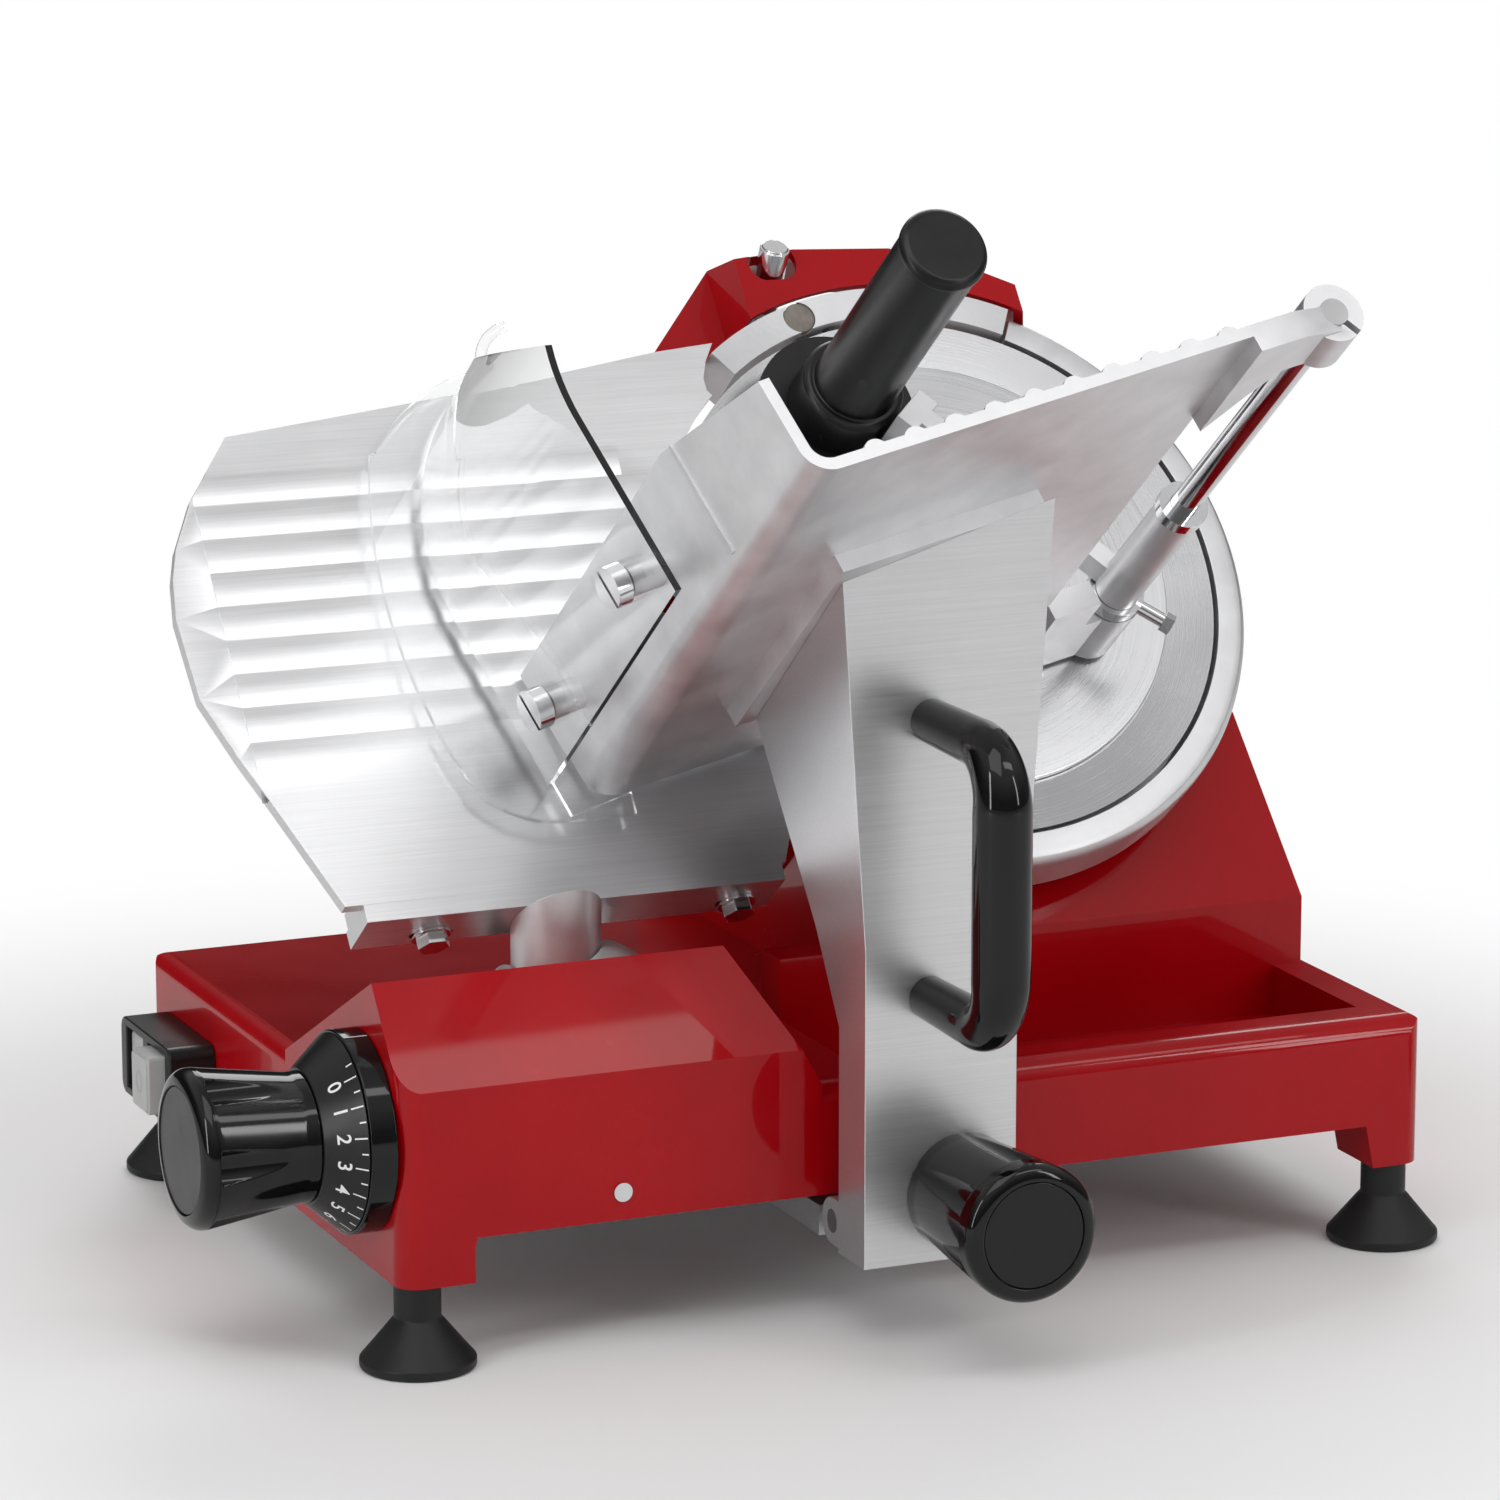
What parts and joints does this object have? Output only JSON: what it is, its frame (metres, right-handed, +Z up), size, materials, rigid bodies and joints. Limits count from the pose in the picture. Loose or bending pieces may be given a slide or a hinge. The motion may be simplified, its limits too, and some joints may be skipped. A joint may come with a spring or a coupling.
{
  "type": "electric food slicer",
  "caption": "Tabletop electric food slicer: cast base, tilted round blade with guard ring, gauge plate with thickness knob, sliding tray with handle, clear guard and pusher, and sharpener.",
  "frame": {"origin": "centre of the bounding box at the feet's underside", "axes": "+X to the right seen from the carriage side, -Y towards the person who slices, +Z up"},
  "size_m": [0.557, 0.4899, 0.4468],
  "materials": {
    "red_lacquer": "gloss",
    "cast_aluminium": "satin",
    "brushed_aluminium": "brushed",
    "blade_steel": "brushed",
    "bright_steel": "polished",
    "dull_steel": "satin",
    "black_phenolic": "gloss",
    "black_satin": "satin",
    "black_rubber": "matte",
    "clear_acrylic": "clear",
    "pale_plastic": "satin",
    "grit_stone": "matte"
  },
  "bodies": {
    "base": {"base_body": "red_lacquer", "base_plate": "dull_steel", "base_screws": "bright_steel", "rubber_feet": "black_rubber", "foot_screws": "dull_steel", "belt_cover": "red_lacquer", "blade_ring": "cast_aluminium", "blade_bearings": "dull_steel", "blade_cover": "brushed_aluminium", "drive_belt": "black_rubber", "motor": "dull_steel", "motor_capacitor": "black_satin", "switch_housing": "black_satin", "cord_gland": "black_rubber", "dial_ring": "black_phenolic", "gauge_guide_rod": "bright_steel", "post_collar": "cast_aluminium", "carriage_rod": "bright_steel", "carriage_rail": "dull_steel", "sharpener_cover": "red_lacquer", "sharpener_body": "cast_aluminium", "slice_deflector": "brushed_aluminium"},
    "blade_rotor": {"blade": "blade_steel", "blade_shaft": "dull_steel", "blade_pulley": "cast_aluminium"},
    "motor_rotor": {"motor_pulley": "cast_aluminium"},
    "tie_rod": {"cover_tie_rod": "dull_steel", "tie_rod_knob": "black_phenolic"},
    "thickness_control": {"thickness_knob": "black_phenolic", "thickness_knob_cap": "black_satin", "thickness_scale": "black_satin", "knob_shaft": "dull_steel", "gauge_cam": "dull_steel"},
    "gauge": {"gauge_slider": "cast_aluminium", "gauge_post": "cast_aluminium", "gauge_bracket": "brushed_aluminium", "gauge_plate": "brushed_aluminium", "gauge_bolts": "bright_steel"},
    "carriage": {"carriage_slider": "dull_steel", "arm_hinge_pin": "bright_steel"},
    "roller": {"support_roller": "black_rubber"},
    "arm": {"carriage_arm": "brushed_aluminium", "carriage_tray": "cast_aluminium", "arm_handle": "black_phenolic", "hand_guard": "clear_acrylic", "guard_spacers": "cast_aluminium", "guard_nuts": "bright_steel", "pusher_rod": "bright_steel"},
    "lock": {"lock_knob": "black_phenolic", "lock_knob_cap": "black_phenolic"},
    "slider": {"pusher_slider": "bright_steel"},
    "pusher": {"pusher_arm": "cast_aluminium", "pusher_disc": "black_satin", "pusher_handle": "black_satin", "pusher_handle_cap": "black_satin"},
    "start": {"start_button": "pale_plastic"},
    "stop": {"stop_button": "pale_plastic"},
    "sharpen": {"sharpener_button": "bright_steel"},
    "grinder": {"grinding_stone": "grit_stone"},
    "deburrer": {"deburring_stone": "grit_stone"}
  },
  "joints": [
    {"name": "blade_spin", "type": "hinge", "parent": "base", "child": "blade_rotor", "pos_m": [0.1155, 0.04, 0.276], "axis": [0, -0.788, 0.6157], "continuous": true},
    {"name": "motor_spin", "type": "hinge", "parent": "base", "child": "motor_rotor", "pos_m": [0.1155, -0.02895, 0.18774], "axis": [0, -0.788, 0.6157], "continuous": true},
    {"name": "tie_rod_turn", "type": "hinge", "parent": "base", "child": "tie_rod", "pos_m": [0.1155, 0.1188, 0.21443], "axis": [0, -0.788, 0.6157], "range_deg": [0, 720]},
    {"name": "gauge_slide", "type": "slide", "parent": "base", "child": "gauge", "axis": [0, 1, 0], "range_m": [0, 0.016]},
    {"name": "thickness_turn", "type": "hinge", "parent": "base", "child": "thickness_control", "pos_m": [-0.25, -0.0785, 0.092], "axis": [-1, 0, 0], "range_deg": [0, 301]},
    {"name": "carriage_slide", "type": "slide", "parent": "base", "child": "carriage", "axis": [1, 0, 0], "range_m": [-0.135, 0.125]},
    {"name": "roller_spin", "type": "hinge", "parent": "carriage", "child": "roller", "pos_m": [0.0185, 0.0065, 0.0577], "axis": [0, 1, 0], "range_deg": [-800, 740]},
    {"name": "arm_tilt", "type": "hinge", "parent": "carriage", "child": "arm", "pos_m": [0.0185, -0.1325, 0.046], "axis": [1, 0, 0], "range_deg": [0, 18]},
    {"name": "lock_turn", "type": "hinge", "parent": "arm", "child": "lock", "pos_m": [0.0285, -0.19, 0.0625], "axis": [0, -1, 0], "range_deg": [0, 720]},
    {"name": "pusher_slide", "type": "slide", "parent": "arm", "child": "slider", "axis": [0, -0.788, 0.6157], "range_m": [0, 0.135]},
    {"name": "pusher_swing", "type": "hinge", "parent": "slider", "child": "pusher", "pos_m": [0.17, -0.04521, 0.29689], "axis": [0, -0.788, 0.6157], "range_deg": [-95, 0]},
    {"name": "start_press", "type": "slide", "parent": "base", "child": "start", "axis": [1, 0, 0], "range_m": [0, 0.003], "stiffness_N_per_m": 300},
    {"name": "stop_press", "type": "slide", "parent": "base", "child": "stop", "axis": [1, 0, 0], "range_m": [0, 0.003], "stiffness_N_per_m": 300},
    {"name": "sharpener_press", "type": "slide", "parent": "base", "child": "sharpen", "axis": [0, 0.4226, -0.9063], "range_m": [0, 0.003], "stiffness_N_per_m": 400},
    {"name": "grinding_spin", "type": "hinge", "parent": "base", "child": "grinder", "pos_m": [0.09362, 0.12585, 0.36639], "axis": [0, -0.788, 0.6157], "continuous": true},
    {"name": "deburring_spin", "type": "hinge", "parent": "base", "child": "deburrer", "pos_m": [0.07856, 0.11773, 0.37873], "axis": [0, -0.788, 0.6157], "continuous": true}
  ],
  "couplings": [
    {"joint": "motor_spin", "follows": "blade_spin", "ratio": 3},
    {"joint": "thickness_turn", "follows": "gauge_slide", "rad_per_m": 327.25},
    {"joint": "roller_spin", "follows": "carriage_slide", "rad_per_m": 103.09}
  ]
}
